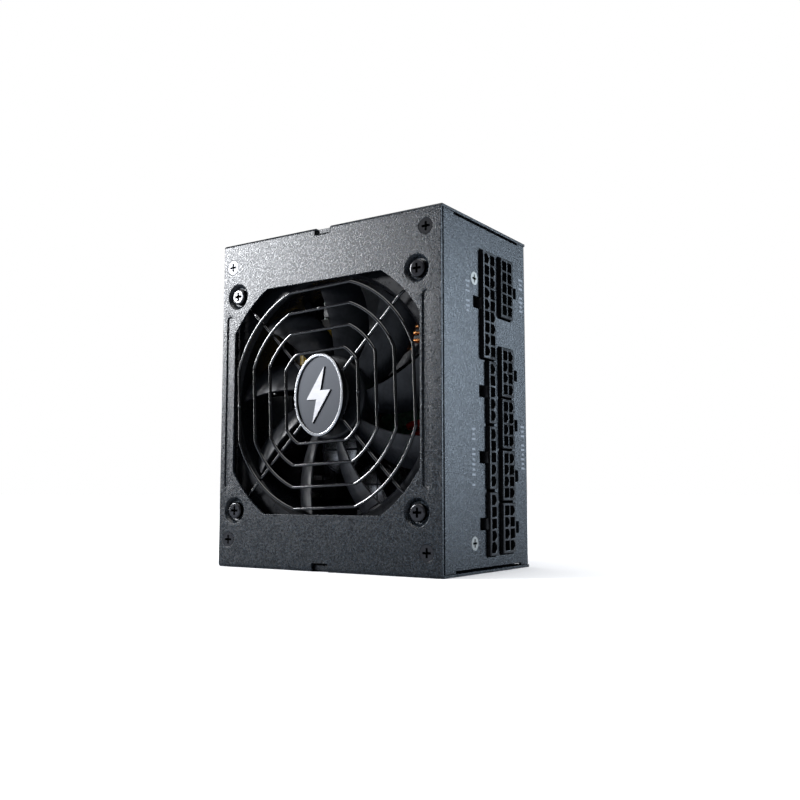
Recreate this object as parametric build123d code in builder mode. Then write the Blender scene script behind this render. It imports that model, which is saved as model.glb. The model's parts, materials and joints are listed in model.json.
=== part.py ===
from build123d import *

import os
from math import cos, degrees, hypot, pi, radians, sin, tan

# Compact modular computer power supply, standing on one of its two long narrow sides.
# Frame: the fan looks to -Y, the output sockets to +X, the mains side is -X and +Z is up.
# The origin is the centre of the bottom face. Everything is in millimetres.

# Case
CASE_X, CASE_Y, CASE_Z = 100.0, 63.5, 125.0
SHEET = 1.0
HALF_X = CASE_X / 2
FACE_Y, BACK_Y = -CASE_Y / 2, CASE_Y / 2
COVER_IN = FACE_Y + SHEET
BASE_IN = BACK_Y - SHEET
WALL_IN = HALF_X - SHEET
SHELL_GAP = 0.15
BASE_FRONT = -30.0
BASE_LOW, BASE_HIGH = SHEET + SHELL_GAP, CASE_Z - SHEET - SHELL_GAP
SLOT_X0, SLOT_X1, SLOT_LIP = -4.4, 2.7, 0.5

# Fan and guard
FAN_X, FAN_Z = -1.0, 62.5
FAN_SIZE, FAN_DEPTH, FAN_HOLES = 92.0, 15.0, 82.5
FAN_FRONT = -27.4
FAN_BACK = FAN_FRONT + FAN_DEPTH
DUCT_R, HUB_R, BLADE_R, BLADES = 44.3, 15.5, 43.4, 9
DIMPLE_DEPTH, DIMPLE_R, DIMPLE_FLOOR_R = 1.6, 5.0, 3.75
OPENING_HALF, OPENING_R = 42.5, 50.0  # the fan opening is where this square and this circle overlap
WIRE_R = 0.6
RING_Y = FACE_Y + WIRE_R
SPOKE_Y = RING_Y + 2 * WIRE_R
RINGS = ((40.0, 14.0), (32.2, 14.0), (24.3, 13.5), (16.5, 11.0))  # half-size, half of each flat
RING_TURN = 2.2  # degrees: the rings sit slightly turned
FAN_CORNERS = [(FAN_X + sx * FAN_HOLES / 2, FAN_Z + sz * FAN_HOLES / 2) for sx in (-1, 1) for sz in (-1, 1)]
COVER_SCREWS = [(-45.2, 10.3), (-45.2, 115.7), (44.0, 8.1), (44.0, 117.8)]

# Output sockets: a header's outline is its rows and columns of cells plus one wall
PITCH, CELL, WALL = 4.2, 3.5, 1.4
SOCKET_FRONT = HALF_X + 1.45
MOD_BACK, MOD_FRONT = 37.4, 39.0
CELL_DEPTH, PIN = 9.5, 1.07
LATCH_WIDE, LATCH_REACH = 4.3, 5.1
#           name           columns rows  centre y, z     side of the latch, cells keyed with cut corners
SOCKETS = (("socket_18p", 2, 9, -0.15, 95.0, -1, 0),
           ("socket_10p", 2, 5, 13.5, 103.5, 1, None),
           ("socket_5p_1", 1, 5, 1.55, 63.6, -1, 0),
           ("socket_5p_2", 1, 5, 1.55, 40.25, -1, 0),
           ("socket_5p_3", 1, 5, 1.55, 16.9, -1, 0),
           ("socket_8p_1", 2, 4, 13.5, 71.9, 1, 1),
           ("socket_8p_2", 2, 4, 13.5, 53.0, 1, 1),
           ("socket_8p_3", 2, 4, 13.5, 34.1, 1, 1),
           ("socket_8p_4", 2, 4, 13.5, 15.2, 1, 1))
BOARD_SCREWS_X = [(-9.1, 103.3), (-10.1, 10.5)]

# Mains side
CHASSIS_Y, CHASSIS_Z, CHASSIS_R = 51.5, 113.0, 1.75
INLET_Y, INLET_Z = 2.0, 27.0
INLET_FRONT, INLET_REAR = -HALF_X - 0.6, -31.0
CAVITY_Z, CAVITY_Y, CAVITY_DEPTH, CAVITY_CUT = 24.6, 16.8, 17.4, 5.0
SWITCH_Y, SWITCH_Z = 2.0, 60.5
PIVOT_X, ROCK_HALF, SWITCH_TILT = -48.6, 7.4, 10.0
VENT_HEX, VENT_PITCH, VENT_Z = 3.6, 4.5, 92.0
LABEL = 0.15

# Main circuit board, component side towards -Y
PCB_TOP, PCB_LOW = 23.4, 25.0
STANDOFFS = [(-30.0, 8.0), (-37.0, 111.0), (33.2, 74.0), (24.0, 112.0)]


def fan_side(y, x=0.0, z=0.0):
    """A plane at y that faces the fan side, with its origin at x, z: local x is X, local y is Z."""
    return Plane(origin=(x, y, z), x_dir=(1, 0, 0), z_dir=(0, -1, 0))


def plug_side(x, y=0.0, z=0.0):
    """A plane at x that faces the socket side, with its origin at y, z: local x is Y, local y is Z."""
    return Plane(origin=(x, y, z), x_dir=(0, 1, 0), z_dir=(1, 0, 0))


def block(x0, x1, y0, y1, z0, z1, mode=Mode.ADD):
    """A box between two coordinates on each axis, in the part being made."""
    with Locations(((x0 + x1) / 2, (y0 + y1) / 2, (z0 + z1) / 2)):
        Box(x1 - x0, y1 - y0, z1 - z0, mode=mode)


def save(piece, name):
    """Write one named piece to its own file."""
    piece.part.label = name
    export_step(piece.part, f"parts/{name}.step")


def cross(arm, width):
    """The outline of a cross recess, at each location in use."""
    Rectangle(2 * arm, width)
    Rectangle(width, 2 * arm)


def pan_screws(seat, points, head_r, head_h, shank_r, length):
    """Pan-head screws whose heads stand on the seat plane and whose shanks go down from it."""
    with BuildPart() as screws:
        with BuildSketch(seat):
            with Locations(*points):
                Circle(head_r)
        extrude(amount=head_h)
        crowns = screws.faces().filter_by(Axis((0, 0, 0), seat.z_dir)).sort_by(Axis((0, 0, 0), seat.z_dir))
        fillet(crowns[-len(points):].edges(), head_h * 0.45)
        with BuildSketch(seat):
            with Locations(*points):
                Circle(shank_r)
        extrude(amount=-length)
        with BuildSketch(seat.offset(head_h)):
            with Locations(*points):
                cross(head_r * 0.55, head_r * 0.3)
        extrude(amount=-head_h * 0.7, mode=Mode.SUBTRACT)
    return screws


def countersunk_screws(face, points, head_r, shank_r, length):
    """Countersunk screws whose heads are level with the face."""
    with BuildPart(face) as screws:
        with Locations(*points):
            Cylinder(shank_r, length, align=(Align.CENTER, Align.CENTER, Align.MAX))
            Cone(shank_r, head_r, head_r - shank_r, align=(Align.CENTER, Align.CENTER, Align.MAX))
        with BuildSketch(face):
            with Locations(*points):
                cross(head_r * 0.6, head_r * 0.3)
        extrude(amount=-0.9, mode=Mode.SUBTRACT)
    return screws


def corner_radii(points):
    """The radius of each corner of a lead's route: as large as its two runs allow."""
    runs = [Vector(*b) - Vector(*a) for a, b in zip(points, points[1:])]
    radii = []
    for before, after in zip(runs, runs[1:]):
        turn = radians(before.get_angle(after))
        radii.append(0.45 * min(before.length, after.length) / tan(turn / 2))
    return radii


def leads(name, routes, wire_r):
    """Insulated leads, each a round wire along straight runs joined by tangent arcs."""
    with BuildPart() as bundle:
        for points in routes:
            radii = corner_radii(points)
            with BuildLine() as route:
                FilletPolyline(*points, radius=radii)
            before = bundle.part.volume if bundle.part else 0.0
            with BuildSketch(Plane(origin=route.line @ 0, z_dir=route.line % 0)):
                Circle(wire_r)
            sweep(path=route.line)
            made = bundle.part.volume - before
            length = route.wires()[0].length
            print(name, "length", round(length, 1), "radii", [round(r, 1) for r in radii],
                  "volume ratio", round(made / (pi * wire_r**2 * length), 3))
    save(bundle, name)


# ---------------------------------------------------------------- case

def screw_dimples(points, depth, top_r, floor_r, hole_r):
    """Round pockets pressed into the fan face, each with a hole in its floor."""
    floor = FACE_Y + depth
    with Locations(*[fan_side(floor + SHEET, x, z) for x, z in points]):
        Cone(floor_r + 0.7 * SHEET, top_r + 0.7 * SHEET, depth, align=(Align.CENTER, Align.CENTER, Align.MIN))
    with Locations(*[fan_side(floor, x, z) for x, z in points]):
        Cone(floor_r, top_r, depth, align=(Align.CENTER, Align.CENTER, Align.MIN), mode=Mode.SUBTRACT)
        Cylinder(hole_r, 4 * SHEET, mode=Mode.SUBTRACT)


def make_fan_cover():
    """The fan face and the two long narrow sides, bent from one sheet."""
    bead_long, bead_wide, bead_deep = 66.4, 3.1, 0.5
    bead_centres = [(-46.2, 63.0), (44.0, 62.6)]
    with BuildPart() as cover:
        with BuildSketch(plug_side(-HALF_X)) as profile:
            with Locations((0, CASE_Z / 2)):
                Rectangle(CASE_Y, CASE_Z)
            fillet(profile.vertices().group_by(Axis.X)[0], 1.2)
            with Locations((SHEET, CASE_Z / 2)):
                Rectangle(CASE_Y, CASE_Z - 2 * SHEET, mode=Mode.SUBTRACT)
        extrude(amount=CASE_X)
        # the beads stand inwards, so their backs are added before the grooves are cut
        for plane, grow, mode in ((fan_side(COVER_IN), 0.6, Mode.ADD),
                                  (fan_side(FACE_Y), 0.0, Mode.SUBTRACT)):
            with BuildSketch(plane):
                with Locations(*bead_centres):
                    SlotOverall(bead_long + grow, bead_wide + grow, rotation=90)
            extrude(amount=-bead_deep, mode=mode)
        screw_dimples(FAN_CORNERS, DIMPLE_DEPTH, DIMPLE_R, DIMPLE_FLOOR_R, 2.3)
        screw_dimples(COVER_SCREWS, 0.65, 2.95, 2.3, 1.6)
        with Locations(*[fan_side(FACE_Y, x, z) for x, z in COVER_SCREWS]):
            Cone(1.5, 2.9, 1.4, align=(Align.CENTER, Align.CENTER, Align.MAX), mode=Mode.SUBTRACT)
        with BuildSketch(fan_side(FACE_Y)):
            with Locations((FAN_X, FAN_Z)):
                Rectangle(2 * OPENING_HALF, 2 * OPENING_HALF)
                Circle(OPENING_R, mode=Mode.INTERSECT)
        extrude(amount=-SHEET, mode=Mode.SUBTRACT)
        for z in (0, CASE_Z - 3):
            block(SLOT_X0, SLOT_X1, FACE_Y, FACE_Y + 3, z, z + 3, Mode.SUBTRACT)
    save(cover, "fan_cover")


def socket_size(columns, rows):
    """A socket's outside width and height."""
    return columns * PITCH + WALL, rows * PITCH + WALL


def cut_socket_windows():
    """The windows of the socket side, each with a notch for its latch."""
    margin = 0.5
    for name, columns, rows, y, z, latch, keyed in SOCKETS:
        wide, tall = socket_size(columns, rows)
        block(WALL_IN, HALF_X, y - wide / 2 - margin, y + wide / 2 + margin,
              z - tall / 2 - margin, z + tall / 2 + margin, Mode.SUBTRACT)
        edge = y + latch * wide / 2
        far = edge + latch * LATCH_REACH
        block(WALL_IN, HALF_X, min(edge, far), max(edge, far),
              z - LATCH_WIDE / 2, z + LATCH_WIDE / 2, Mode.SUBTRACT)


def cut_mains_panel():
    """The inlet, switch, vent and chassis holes of the mains side."""
    wall = plug_side(-HALF_X)
    with BuildSketch(wall) as outline:
        with Locations((INLET_Y, INLET_Z)):
            Rectangle(CAVITY_Y + 3.0, CAVITY_Z + 3.0)
        chamfer(outline.vertices().group_by(Axis.X)[0], CAVITY_CUT)
        with Locations((SWITCH_Y, SWITCH_Z)):
            Rectangle(19.4, 13.2)
        with Locations((INLET_Y, INLET_Z - 20), (INLET_Y, INLET_Z + 20)):
            Circle(1.6)
    extrude(outline.sketch, amount=SHEET, mode=Mode.SUBTRACT)
    with BuildSketch(wall) as vent:
        with Locations((0, VENT_Z)):
            with HexLocations(VENT_PITCH / 2, 10, 10):
                RegularPolygon(VENT_HEX / 2, 6, major_radius=False, rotation=30)
    extrude(vent.sketch, amount=SHEET, mode=Mode.SUBTRACT)
    corners = [(sy * CHASSIS_Y / 2, CASE_Z / 2 + sz * CHASSIS_Z / 2) for sy in (-1, 1) for sz in (-1, 1)]
    with BuildSketch(plug_side(-WALL_IN)) as collars:
        with Locations(*corners):
            Circle(CHASSIS_R + 0.9)
    extrude(collars.sketch, amount=1.2)
    with BuildSketch(wall) as holes:
        with Locations(*corners):
            Circle(CHASSIS_R)
    extrude(holes.sketch, amount=3, mode=Mode.SUBTRACT)


def make_base_shell():
    """The back, the socket side and the mains side, bent from one sheet, with its inner tabs."""
    slit = (-23.25, 25.0)
    tab_reach, tab_half = 8.6, 5.0
    tongue_x0, tongue_x1 = -4.0, 2.3
    with BuildPart() as shell:
        with BuildSketch(Plane.XY.offset(BASE_LOW)) as profile:
            with Locations((0, (BASE_FRONT + BACK_Y) / 2)):
                Rectangle(CASE_X, BACK_Y - BASE_FRONT)
            fillet(profile.vertices().group_by(Axis.Y)[-1], 1.4)
            with Locations((0, (BASE_FRONT + BASE_IN) / 2)):
                Rectangle(CASE_X - 2 * SHEET, BASE_IN - BASE_FRONT, mode=Mode.SUBTRACT)
        extrude(amount=BASE_HIGH - BASE_LOW)
        for z0, z1 in ((BASE_LOW, BASE_LOW + 0.85), (BASE_HIGH - 0.85, BASE_HIGH)):
            block(WALL_IN, HALF_X, slit[0], slit[1], z0, z1, Mode.SUBTRACT)
        # a tongue runs from each end of the back to the cover's slot
        for z0, z1 in ((BASE_LOW, BASE_LOW + SHEET), (BASE_HIGH - SHEET, BASE_HIGH)):
            block(tongue_x0, tongue_x1, -29.9, BASE_IN, z0, z1)
        # its end is bent up into the slot, almost level with the cover
        for z0, z1 in ((SLOT_LIP, BASE_LOW + SHEET), (BASE_HIGH - SHEET, CASE_Z - SLOT_LIP)):
            block(tongue_x0, tongue_x1, FACE_Y + 1.35, FACE_Y + 2.75, z0, z1)
        # tabs behind the fan face, with drawn collars for the cover screws
        for x, z in COVER_SCREWS:
            wall = WALL_IN if x > 0 else -WALL_IN
            inner = wall - tab_reach if x > 0 else wall + tab_reach
            block(min(wall, inner), max(wall, inner), BASE_FRONT, BASE_FRONT + SHEET,
                  z - tab_half, z + tab_half)
        with BuildSketch(fan_side(BASE_FRONT + SHEET + 1.1)):
            with Locations(*COVER_SCREWS):
                Circle(2.5)
        extrude(amount=1.2)
        with BuildSketch(fan_side(BASE_FRONT)):
            with Locations(*COVER_SCREWS):
                Circle(1.55)
        extrude(amount=-3, mode=Mode.SUBTRACT)
        cut_socket_windows()
        with Locations(*[plug_side(HALF_X, y, z) for y, z in BOARD_SCREWS_X]):
            Cylinder(1.6, 4 * SHEET, mode=Mode.SUBTRACT)
            Cone(1.5, 2.45, 0.95, align=(Align.CENTER, Align.CENTER, Align.MAX), mode=Mode.SUBTRACT)
        cut_mains_panel()
    save(shell, "base_shell")


def make_case_fasteners():
    """The screws of the fan face and the blank label on the back."""
    save(countersunk_screws(fan_side(FACE_Y), COVER_SCREWS, 2.75, 1.45, 4.5), "cover_screws")
    save(pan_screws(fan_side(FACE_Y + DIMPLE_DEPTH), FAN_CORNERS, 3.1, 1.6, 2.1, 9.5), "fan_screws")
    with BuildPart() as label:
        with BuildSketch(fan_side(BACK_Y)):
            with Locations((0, CASE_Z / 2)):
                RectangleRounded(88, 108, 2)
        extrude(amount=-LABEL)
    save(label, "spec_label")


# ---------------------------------------------------------------- fan guard and badge

def ring_outline(half, flat):
    """An eight-sided wire ring: four flats joined by arcs about the fan's axis, with soft corners."""
    with BuildSketch(fan_side(RING_Y)) as outline:
        with BuildLine():
            for turn in range(4):
                a = (half, -flat)
                b = (half, flat)
                c = (flat, half)
                middle = (hypot(half, flat) * cos(pi / 4), hypot(half, flat) * sin(pi / 4))
                a, b, c, middle = [Vector(*p).rotate(Axis.Z, 90 * turn + RING_TURN) + Vector(FAN_X, FAN_Z)
                                   for p in (a, b, c, middle)]
                Line(a, b)
                ThreePointArc(b, middle, c)
        make_face()
        fillet(outline.vertices(), 2.5)
    return outline.sketch.face().outer_wire()


def make_grille():
    """The guard: four rings in one plane, and behind them four spokes that end in eyes under the screws."""
    with BuildPart() as rings:
        for half, flat in RINGS:
            path = ring_outline(half, flat)
            with BuildSketch(Plane(origin=path @ 0, z_dir=path % 0)):
                Circle(WIRE_R)
            sweep(path=path)
    save(rings, "grille_rings")

    eye_y = FACE_Y + DIMPLE_DEPTH + SHEET + WIRE_R + 0.02
    eye_r = 3.3
    reach = FAN_HOLES / 2 * 2**0.5 - eye_r
    with BuildPart() as spokes:
        for x, z in FAN_CORNERS:
            out = Vector(x - FAN_X, 0, z - FAN_Z).normalized()
            centre = Vector(FAN_X, 0, FAN_Z)
            stops = [centre + out * r + Vector(0, y, 0)
                     for r, y in ((9.0, SPOKE_Y), (47.5, SPOKE_Y), (51.5, eye_y), (reach, eye_y))]
            with BuildLine() as route:
                FilletPolyline(*stops, radius=4.0)
            with BuildSketch(Plane(origin=route.line @ 0, z_dir=route.line % 0)):
                Circle(WIRE_R)
            sweep(path=route.line)
        with Locations(*[fan_side(eye_y, x, z) for x, z in FAN_CORNERS]):
            Torus(eye_r, WIRE_R)
    save(spokes, "grille_spokes")


def make_badge():
    """A round backing disc on the spokes, and an oval plate with a raised rim and a lightning flash."""
    disc_back = SPOKE_Y - WIRE_R
    disc_front = disc_back - 0.6
    plate_front = disc_front - 0.8
    half_wide, half_tall = 11.2, 15.0
    rim = 1.1
    raised = 0.6
    centre = (FAN_X - 0.4, FAN_Z + 0.4)
    with BuildPart() as disc:
        with BuildSketch(fan_side(disc_back)):
            with Locations((FAN_X, FAN_Z)):
                Circle(12.4)
        extrude(amount=disc_back - disc_front)
    save(disc, "grille_disc")
    with BuildPart() as plate:
        with BuildSketch(fan_side(disc_front)):
            with Locations(centre):
                Ellipse(half_wide, half_tall)
        extrude(amount=disc_front - plate_front)
        with BuildSketch(fan_side(plate_front)):
            with Locations(centre):
                Ellipse(half_wide, half_tall)
                Ellipse(half_wide - rim, half_tall - rim, mode=Mode.SUBTRACT)
        extrude(amount=raised)
        fillet(plate.faces().sort_by(Axis.Y)[0].edges(), 0.25)
    save(plate, "badge_plate")
    with BuildPart() as flash:
        with BuildSketch(fan_side(plate_front, *centre)):
            with BuildLine():
                Polyline((2.6, 10.2), (-5.4, -1.6), (-0.9, -1.6), (-2.6, -10.2), (5.4, 1.6), (0.9, 1.6),
                         close=True)
            make_face()
        extrude(amount=raised - 0.1)
    save(flash, "badge_emblem")


# ---------------------------------------------------------------- fan

def make_fan_frame():
    """The square frame with its round duct, screw corners, motor seat and four struts at the back."""
    half = FAN_SIZE / 2
    flange = 3.2
    strut = 2.4
    post_r, web = 3.8, 2.0
    with BuildPart() as frame:
        with BuildSketch(fan_side(FAN_FRONT, FAN_X, FAN_Z)):
            RectangleRounded(FAN_SIZE, FAN_SIZE, 4.5)
            Circle(DUCT_R, mode=Mode.SUBTRACT)
        extrude(amount=-FAN_DEPTH)
        # between the flanges each corner is open, but for a post round its screw hole and the post's web
        with BuildSketch(fan_side(FAN_FRONT + flange, FAN_X, FAN_Z)):
            Rectangle(FAN_SIZE + 2, FAN_SIZE + 2)
            Circle(DUCT_R + 1.5, mode=Mode.SUBTRACT)
            with GridLocations(FAN_HOLES, FAN_HOLES, 2, 2):
                Circle(post_r, mode=Mode.SUBTRACT)
            with PolarLocations(DUCT_R + 6.0, 4, start_angle=45):
                Rectangle(12.0, web, mode=Mode.SUBTRACT)
        extrude(amount=-(FAN_DEPTH - 2 * flange), mode=Mode.SUBTRACT)
        # a flared mouth leads the air in
        with Locations(fan_side(FAN_FRONT, FAN_X, FAN_Z)):
            Cone(DUCT_R, DUCT_R + 1.2, 1.6, align=(Align.CENTER, Align.CENTER, Align.MAX), mode=Mode.SUBTRACT)
        with BuildSketch(fan_side(FAN_FRONT, FAN_X, FAN_Z)):
            with GridLocations(FAN_HOLES, FAN_HOLES, 2, 2):
                Circle(2.15)
        extrude(amount=-FAN_DEPTH, mode=Mode.SUBTRACT)
        with BuildSketch(fan_side(FAN_BACK, FAN_X, FAN_Z)):
            Circle(HUB_R)
            with PolarLocations((HUB_R + half) / 2 - 1, 4, start_angle=28):
                Rectangle(half - HUB_R, 3.2)
        extrude(amount=strut)
        with BuildSketch(fan_side(FAN_BACK - strut, FAN_X, FAN_Z)):
            Circle(4.6)
        extrude(amount=7.0)
        with BuildSketch(fan_side(FAN_BACK, FAN_X, FAN_Z)):
            Circle(3.5)
            with Locations((10.0, -4.0)):
                Circle(2.0)
        extrude(amount=FAN_DEPTH, mode=Mode.SUBTRACT)
    save(frame, "fan_frame")


def blade_section(radius, chord, pitch_angle, lead_angle, y):
    """A thin cambered section across a blade, facing out from the axis.

    lead_angle is where the front edge lies, counted in degrees from +X towards +Z.
    """
    spread = degrees(chord * cos(radians(pitch_angle)) / radius)
    angle = radians(lead_angle - spread / 2)
    outward = Vector(cos(angle), 0, sin(angle))
    along = Vector(-sin(angle), 0, cos(angle))
    origin = Vector(FAN_X, y, FAN_Z) + outward * radius
    tip = Vector(cos(radians(pitch_angle)), sin(radians(pitch_angle))) * (chord / 2)
    normal = Vector(-tip.Y, tip.X).normalized()
    belly = normal * (0.07 * chord)
    edge, thick = 0.3, 0.75
    with BuildSketch(Plane(origin=origin, x_dir=along, z_dir=outward)) as section:
        with BuildLine():
            upper = ThreePointArc(-tip + normal * edge, belly + normal * thick, tip + normal * edge)
            lower = ThreePointArc(-tip - normal * edge, belly - normal * thick, tip - normal * edge)
            Line(upper @ 0, lower @ 0)
            Line(upper @ 1, lower @ 1)
        make_face()
    return section.sketch


def make_fan_rotor():
    """The hub cup with its swept blades, the shaft and the magnet ring."""
    hub_front, hub_back = FAN_FRONT + 1.0, FAN_BACK - 3.0
    middle = (hub_front + hub_back) / 2
    shaft_r = 1.5
    first_edge = 89.5
    with BuildPart() as blade:
        for radius, chord, pitch_angle, sweep_angle in ((14.4, 10.5, 46, -3.0), (28.0, 14.8, 37, 3.0),
                                                        (46.0, 15.0, 31, 11.0)):
            add(blade_section(radius, chord, pitch_angle, first_edge + sweep_angle, middle))
        loft()
        with BuildSketch(fan_side(middle, FAN_X, FAN_Z)):
            Circle(BLADE_R)
            Circle(HUB_R - 0.6, mode=Mode.SUBTRACT)
        extrude(amount=8, both=True, mode=Mode.INTERSECT)
    with BuildPart() as rotor:
        with BuildSketch(fan_side(hub_back, FAN_X, FAN_Z)):
            Circle(HUB_R)
        extrude(amount=hub_back - hub_front)
        fillet(rotor.faces().sort_by(Axis.Y)[0].edges(), 1.2)
        with BuildSketch(fan_side(hub_back, FAN_X, FAN_Z)):
            Circle(HUB_R - 1.2)
        extrude(amount=hub_back - hub_front - 1.6, mode=Mode.SUBTRACT)
        with BuildSketch(fan_side(hub_front + 1.6, FAN_X, FAN_Z)):
            Circle(3.2)
        extrude(amount=-1.6)
        with BuildSketch(fan_side(hub_front + 0.8, FAN_X, FAN_Z)):
            Circle(shaft_r + 0.01)
        extrude(amount=-4, mode=Mode.SUBTRACT)
        for turn in range(BLADES):
            axis = Axis((FAN_X, 0, FAN_Z), (0, 1, 0))
            add(blade.part.rotate(axis, turn * 360 / BLADES))
    save(rotor, "fan_rotor")
    with BuildPart() as shaft:
        with BuildSketch(fan_side(hub_front + 0.82, FAN_X, FAN_Z)):
            Circle(shaft_r)
        extrude(amount=-(FAN_BACK - 0.8 - hub_front - 0.82))
        chamfer(shaft.faces().sort_by(Axis.Y)[-1].edges(), 0.3)
    save(shaft, "fan_shaft")
    with BuildPart() as magnet:
        with BuildSketch(fan_side(hub_front + 2.4, FAN_X, FAN_Z)):
            Circle(HUB_R - 1.22)
            Circle(HUB_R - 2.4, mode=Mode.SUBTRACT)
        extrude(amount=-(hub_back - hub_front - 3.2))
    save(magnet, "fan_magnet_ring")


def make_fan_motor():
    """The still half of the motor: bearing, stator with its coils, and the round driver board."""
    tube_top = FAN_BACK - 2.4 - 7.0
    with BuildPart() as bearing:
        with BuildSketch(fan_side(FAN_BACK - 0.6, FAN_X, FAN_Z)):
            Circle(3.48)
            Circle(1.55, mode=Mode.SUBTRACT)
        extrude(amount=FAN_BACK - 0.6 - tube_top)
    save(bearing, "fan_bearing")
    coil_r0, coil_r1 = 6.6, 10.6
    with BuildPart() as stator:
        with BuildSketch(fan_side(FAN_BACK - 4.6, FAN_X, FAN_Z)):
            Circle(12.2)
            Circle(10.9, mode=Mode.SUBTRACT)
            with PolarLocations(11.5, 4, start_angle=45):
                Rectangle(3.0, 1.6, mode=Mode.SUBTRACT)
            Circle(6.4)
            with PolarLocations(8.5, 4):
                Rectangle(5.4, 2.6)
            Circle(4.64, mode=Mode.SUBTRACT)
        extrude(amount=3.0)
    save(stator, "fan_stator")
    with BuildPart() as coils:
        for turn in range(4):
            angle = radians(90 * turn)
            out = Vector(cos(angle), 0, sin(angle))
            start = Vector(FAN_X, FAN_BACK - 6.1, FAN_Z) + out * coil_r0
            with BuildSketch(Plane(origin=start, x_dir=(0, -1, 0), z_dir=out)):
                RectangleRounded(4.6, 4.4, 0.8)
                Rectangle(3.06, 2.66, mode=Mode.SUBTRACT)
            extrude(amount=coil_r1 - coil_r0)
    save(coils, "fan_coils")
    with BuildPart() as board:
        with BuildSketch(fan_side(FAN_BACK - 2.45, FAN_X, FAN_Z)):
            Circle(12.6)
            Circle(4.7, mode=Mode.SUBTRACT)
        extrude(amount=0.8)
    save(board, "fan_motor_board")


def make_fan_connection():
    """The fan's two leads, from the motor board to a two-way plug on the main board."""
    plug_x, plug_z, plug_top = 17.5, 61.0, 14.4
    start_x, start_z = FAN_X + 10.0, FAN_Z - 4.0
    run_y = FAN_BACK + 2.2
    routes = []
    for side in (-0.75, 0.75):
        routes.append([(start_x, FAN_BACK - 2.4, start_z + side),
                       (start_x, run_y, start_z + side),
                       (plug_x, run_y + 0.6, plug_z + 1.7 * side),
                       (plug_x, plug_top, plug_z + 1.7 * side)])
    leads("fan_leads", routes, 0.6)
    with BuildPart() as plug:
        block(plug_x - 2.2, plug_x + 2.2, plug_top, PCB_TOP, plug_z - 3.4, plug_z + 3.4)
        chamfer(plug.edges().filter_by(Axis.Y), 0.4)
        block(plug_x - 2.9, plug_x - 2.2, plug_top + 4, PCB_TOP, plug_z - 2.4, plug_z + 2.4)
    save(plug, "fan_plug")


# ---------------------------------------------------------------- output sockets

def cell_places(columns, rows):
    """Each cell's row, column and place about the socket's centre, the first row on top."""
    for row in range(rows):
        for column in range(columns):
            across = (column - (columns - 1) / 2) * PITCH
            up = ((rows - 1) / 2 - row) * PITCH
            yield row, column, (across, up)


def make_sockets():
    """Board headers with a walled cell for each pin: some cells have two cut corners as keys."""
    half = CELL / 2
    cut = 1.15
    keyed_cell = [(-half, -half), (half - cut, -half), (half, -half + cut), (half, half - cut),
                  (half - cut, half), (-half, half)]
    for name, columns, rows, y, z, latch, keyed in SOCKETS:
        wide, tall = socket_size(columns, rows)
        plain, shaped = [], []
        for row, column, place in cell_places(columns, rows):
            is_keyed = keyed is not None and ((row + 1) // 2 + column) % 2 == keyed
            (shaped if is_keyed else plain).append(place)
        front = plug_side(SOCKET_FRONT, y, z)
        with BuildPart() as socket:
            with BuildSketch(plug_side(MOD_FRONT, y, z)):
                Rectangle(wide, tall)
            extrude(amount=SOCKET_FRONT - MOD_FRONT)
            chamfer(socket.faces().sort_by(Axis.X)[-1].edges(), 0.25)
            with BuildSketch(front):
                with Locations(*plain):
                    Rectangle(CELL, CELL)
                if shaped:
                    with Locations(*shaped):
                        Polygon(*keyed_cell, align=None)
            extrude(amount=-CELL_DEPTH, mode=Mode.SUBTRACT)
            with BuildSketch(front):
                with Locations(*(plain + shaped)):
                    Rectangle(PIN + 0.2, PIN + 0.2)
            extrude(amount=-20, mode=Mode.SUBTRACT)
            # the ramp that the plug's latch hooks behind
            ramp = 1.6
            with BuildSketch(Plane(origin=(0, y + latch * wide / 2, z - 1.9))):
                with BuildLine():
                    Polyline((43.0, 0), (43.0, latch * ramp), (46.0, latch * ramp), (50.6, latch * 0.4),
                             (50.6, 0), close=True)
                make_face()
            extrude(amount=3.8)
        save(socket, name)


def socket_pin_places():
    """The y and z of every pin of every socket."""
    for name, columns, rows, y, z, latch, keyed in SOCKETS:
        for row, column, (across, up) in cell_places(columns, rows):
            yield (y + across, z + up)


def make_socket_board():
    """The upright board behind the sockets, its pins, its two spacers and their screws."""
    tail = 1.0
    pins_at = list(socket_pin_places())
    with BuildPart() as board:
        with BuildSketch(plug_side(MOD_BACK)):
            with Locations((5.6, 61.5)):
                Rectangle(35.2, 115)
            with Locations(*pins_at):
                Circle(0.85, mode=Mode.SUBTRACT)
            with Locations(*BOARD_SCREWS_X):
                Circle(1.6, mode=Mode.SUBTRACT)
        extrude(amount=MOD_FRONT - MOD_BACK)
    save(board, "socket_board")
    with BuildPart() as pins:
        with BuildSketch(plug_side(MOD_BACK - tail)):
            with Locations(*pins_at):
                Rectangle(PIN, PIN)
        extrude(amount=SOCKET_FRONT - 2.6 - MOD_BACK + tail)
        chamfer(pins.faces().filter_by(Axis.X).sort_by(Axis.X)[-len(pins_at):].edges(), 0.25)
    save(pins, "socket_pins")
    with BuildPart() as spacers:
        with BuildSketch(plug_side(MOD_FRONT)):
            with Locations(*BOARD_SCREWS_X):
                RegularPolygon(2.5, 6, major_radius=False)
                Circle(1.6, mode=Mode.SUBTRACT)
        extrude(amount=WALL_IN - MOD_FRONT)
    save(spacers, "socket_board_spacers")
    save(countersunk_screws(plug_side(HALF_X), BOARD_SCREWS_X, 2.4, 1.45, 14.0), "socket_board_screws")


# ---------------------------------------------------------------- mains side

def inlet_pin_places():
    """Centre of each blade about the inlet's centre: live, neutral, then earth on the cut-corner side."""
    return [(2.0, -7.0), (2.0, 7.0), (-2.0, 0.0)]


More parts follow.
